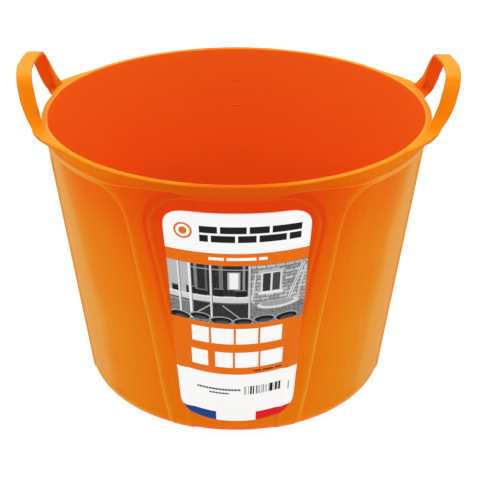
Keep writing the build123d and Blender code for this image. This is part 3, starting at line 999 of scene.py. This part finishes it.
def print_picture(g):
    """Grey building-site picture made of plain shapes.

    Box rows are left, right, low, high, grey; ellipse rows are u, v, two radii, grey;
    bar rows are u, v, length, width, angle, grey.
    """
    def mottle(noise, gain, offset):
        return g.math("MULTIPLY_ADD", noise, gain, offset, clamp=True)

    fine = g.noise(g.stretched(g.u, g.v, 0.9, 0.25), scale=1.6, detail=6.0, rough=0.65)
    streak = g.noise(g.stretched(g.u, g.v, 5.0, 0.10), scale=1.2, detail=4.0, rough=0.6)
    g.grey = g.mix(mottle(fine, gain=2.2, offset=-0.6), 0.13, 0.46, colour=False)
    g.shade(g.box, [
        # pale wall and dark doorway with thin posts, a light opening and a rail
        (-21.6, -14.0, 198, 242, 0.50),
        (-14.0, 3.2, 200, 242, mottle(streak, gain=0.16, offset=-0.055)),
        (-12.9, -11.9, 206, 242, 0.22), (-9.6, -8.9, 204, 242, 0.12),
        (-5.4, -4.2, 208, 242, 0.17), (1.6, 2.3, 204, 242, 0.30),
        (-2.9, 0.9, 208.5, 231, 0.42), (-2.3, 0.3, 209.5, 230, 0.92),
        (-14.0, 3.2, 233.4, 234.6, 0.38),
        # brick wall with a two-pane window, a lintel and a sill
        (3.2, 21.8, 184, 242, brick_pattern(g)),
        (7.0, 13.4, 203.5, 229.5, 0.74), (7.6, 9.9, 205, 228, 0.035),
        (10.5, 12.8, 205, 228, 0.06), (6.2, 14.2, 229.5, 232.6, 0.50),
        (6.4, 14.0, 201.0, 203.5, 0.86)])
    # leaning boards
    g.shade(g.bar, [(17.6, 211, 52, 3.4, 72, 0.80), (17.6, 211, 52, 0.9, 72, 0.10),
                    (19.4, 209, 46, 2.2, 80, 0.60), (4.9, 209, 40, 1.5, 84, 0.70)])
    g.shade(g.box, [
        # ground, the dark space under the plank, the plank and its edges
        (-21.8, 21.8, 160, 187, mottle(fine, gain=0.75, offset=-0.17)),
        (-13.4, 3.6, 168, 190, mottle(streak, gain=0.12, offset=-0.03)),
        (-21.8, 4.6, 191.0, 199.0, 0.66), (-21.8, 4.6, 189.2, 191.0, 0.10),
        (-21.8, 4.6, 197.4, 199.0, 0.86)])
    # crates on the plank, each with a lighter top edge
    for left, right, top in ((-19.9, -17.4, 207.5), (-15.4, -12.6, 209.5), (-11.9, -9.2, 207.0),
                             (-6.8, -4.1, 209.5), (-0.6, 2.6, 208.0)):
        g.shade(g.box, [(left, right, 199.0, top, 0.014),
                        (left - 0.15, right + 0.15, top - 1.2, top, 0.22)])
    # posts, each dark along its right edge
    for left, right, foot, grey in ((-17.9, -17.1, 166, 0.78), (-14.6, -13.6, 166, 0.86),
                                    (-8.2, -7.4, 166, 0.74), (3.4, 4.2, 170, 0.60)):
        g.shade(g.box, [(left, right, foot, 242, grey), (right - 0.22, right, foot, 242, 0.16)])
    g.shade(g.bar, [(-11.0, 179, 30, 1.3, 38, 0.52), (-1.8, 179, 26, 1.3, -40, 0.42)])
    # mixing board, then tubs along the bottom edge
    g.shade(g.ellipse, [(12.6, 186.0, 6.6, 5.6, 0.70), (12.4, 187.6, 5.2, 3.6, 0.36)])
    for u, v, wide, high in ((-18.0, 167.0, 3.5, 5.6), (-11.6, 170.5, 3.3, 5.0),
                             (-5.0, 167.2, 3.6, 5.4), (1.8, 166.4, 3.2, 4.8),
                             (8.4, 168.6, 3.4, 5.0), (15.4, 167.2, 3.7, 5.6)):
        g.shade(g.ellipse, [(u, v, wide, high, 0.40),
                            (u + 0.05, v - 0.5, wide * 0.90, high * 0.84, 0.012),
                            (u + 0.3, v - 2.4, wide * 0.60, high * 0.42, 0.07)])
    grain = g.noise(g.combine(g.math("MULTIPLY", g.u, 3.8), g.v), scale=1.1, rough=0.6)
    grey = g.math("MULTIPLY", g.grey, g.math("MULTIPLY_ADD", grain, 1.1, 0.42))
    g.ink(g.stripe(163.0, 239.2), g.combine(grey, grey, grey))


def print_foot(g):
    """Broken grey lines, a pattern of bars and two corner flashes on the white foot."""
    lines = g.boxes([(-13.8, 1.3, 68.6, 71.2), (-9.7, -2.8, 63.4, 65.6),
                     (17.5, 17.95, 60.0, 72.0)])
    broken = g.math("GREATER_THAN", g.math("FRACT", g.math("MULTIPLY", g.u, 0.91)), 0.12)
    g.ink(g.math("MULTIPLY", lines, broken), GREY_INK)
    # columns 1 / 6.4 of a degree wide, inked at random
    chance = g.node("TexWhiteNoise")
    chance.noise_dimensions = "1D"
    g.put(g.math("FLOOR", g.math("MULTIPLY", g.u, 6.4)), chance.inputs["W"])
    inked = g.math("GREATER_THAN", chance.outputs["Value"], 0.47)
    g.ink(g.math("MULTIPLY", inked, g.box(2.4, 15.1, 63.0, 75.0)), INK)
    low = g.math("LESS_THAN", g.v, 36.4)
    g.ink(g.math("MULTIPLY", low, g.math("LESS_THAN", g.u, -7.5)), BLUE)
    g.ink(g.math("MULTIPLY", low, g.math("GREATER_THAN", g.u, 6.7)), RED)


def label_material():
    g = LabelPrint("label_print")
    print_bands(g)
    print_picture(g)
    print_foot(g)
    gloss = g.noise(g.point, scale=160.0, rough=0.6)
    normal = g.bump(g.noise(g.point, scale=420.0, detail=2.0), strength=0.05, distance=0.0003)
    g.surface({
        "Base Color": g.colour,
        "Roughness": g.math("ADD", 0.34, g.math("MULTIPLY", gloss, 0.12)),
        "Normal": g.bump(g.noise(g.point, scale=22.0, detail=2.0), strength=0.08,
                         distance=0.002, normal=normal),
        "Specular IOR Level": 0.06,
        # faint emission in the print's own colour: painted light that keeps the white film bright
        "Emission Color": g.colour,
        "Emission Strength": 0.07,
    })
    return g.material


# ------------------------------------------------------------------ build and attach
tub = build_tub()
left = build_strap("strap_left", -1, LEFT_LOOP)
right = build_strap("strap_right", 1, RIGHT_LOOP)
label = build_label()
marks = [build_mark("level_mark_%d" % (n + 1), z) for n, z in enumerate(MARK_HEIGHTS)]

skin = plastic("orange_polyethylene", TUB_STOPS)
strap_skin = plastic("orange_polyethylene_strap", STRAP_STOPS)
for ob in (tub, *marks):
    ob.data.materials.append(skin)
for ob in (left, right):
    ob.data.materials.append(strap_skin)
label.data.materials.append(label_material())

for ob in (tub, label, *marks):
    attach(ob, "tub")
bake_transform(left)
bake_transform(right)
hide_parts("tub_body")
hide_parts("left_handle")
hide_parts("right_handle")
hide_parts("front_label")

# ------------------------------------------------------------------ stage, metres
scene = bpy.context.scene
scene.view_settings.view_transform = "Standard"
scene.view_settings.look = "None"


def floor_material():
    g = Shader("pale_floor")
    cloud = g.noise(g.position(), scale=3.0, detail=2.0)
    g.surface({
        "Base Color": g.mix(cloud, (0.17, 0.17, 0.17, 1), (0.19, 0.19, 0.19, 1)),
        "Roughness": 0.9,
        "Specular IOR Level": 0.0,
        "Emission Color": (1, 1, 1, 1),
        "Emission Strength": 0.92,
    })
    return g.material


def build_floor(half_size, z):
    mesh = bpy.data.meshes.new("floor")
    signs = ((-1, -1), (1, -1), (1, 1), (-1, 1))
    corners = [(half_size * x, half_size * y, 0) for x, y in signs]
    mesh.from_pydata(corners, [], [(0, 1, 2, 3)])
    floor = bpy.data.objects.new("floor", mesh)
    scene.collection.objects.link(floor)
    floor.location.z = z
    mesh.materials.append(floor_material())
    return floor


def build_world(object_light, backdrop):
    """White world with one strength for lighting and another as seen by the camera."""
    world = bpy.data.worlds.new("studio")
    scene.world = world
    world.use_nodes = True
    tree = world.node_tree
    background = tree.nodes["Background"]
    background.inputs["Color"].default_value = (1, 1, 1, 1)
    path = tree.nodes.new("ShaderNodeLightPath")
    mixer = tree.nodes.new("ShaderNodeMix")
    mixer.data_type = "FLOAT"
    mixer.inputs[2].default_value = object_light
    mixer.inputs[3].default_value = backdrop
    tree.links.new(path.outputs["Is Camera Ray"], mixer.inputs[0])
    tree.links.new(mixer.outputs[0], background.inputs["Strength"])


def area_light(name, location, target, size, power):
    light = bpy.data.lights.new(name, "AREA")
    light.energy = power
    light.size = size
    ob = bpy.data.objects.new(name, light)
    ob.location = location
    ob.rotation_mode = "QUATERNION"
    ob.rotation_quaternion = (Vector(target) - Vector(location)).to_track_quat("-Z", "Y")
    scene.collection.objects.link(ob)


def build_camera(distance, height, pitch, turn):
    """Camera in front, turned about Z and pitched down, both in degrees."""
    camera = bpy.data.cameras.new("camera")
    ob = bpy.data.objects.new("camera", camera)
    scene.collection.objects.link(ob)
    turn = math.radians(turn)
    ob.location = (distance * math.sin(turn), -distance * math.cos(turn), height)
    ob.rotation_euler = (math.radians(90 - pitch), 0, turn)
    camera.sensor_width = 36.0
    camera.lens = 96.2641509434
    camera.shift_x = 0.00536687631
    camera.shift_y = -0.00974842767
    camera.clip_start = 0.05
    camera.clip_end = 100
    scene.camera = ob


build_floor(half_size=30.0, z=-0.0005)
build_world(object_light=0.58, backdrop=1.0)
area_light("top_softbox", location=(0, 0.2, 2.6), target=(0, 0, 0.2), size=2.6, power=62)
for name, x in (("side_left", -2.2), ("side_right", 2.2)):
    area_light(name, location=(x, -0.3, 0.9), target=(0, 0, 0.25), size=1.4, power=4.5)
build_camera(distance=1.3913, height=0.8647, pitch=26.42, turn=0.5)
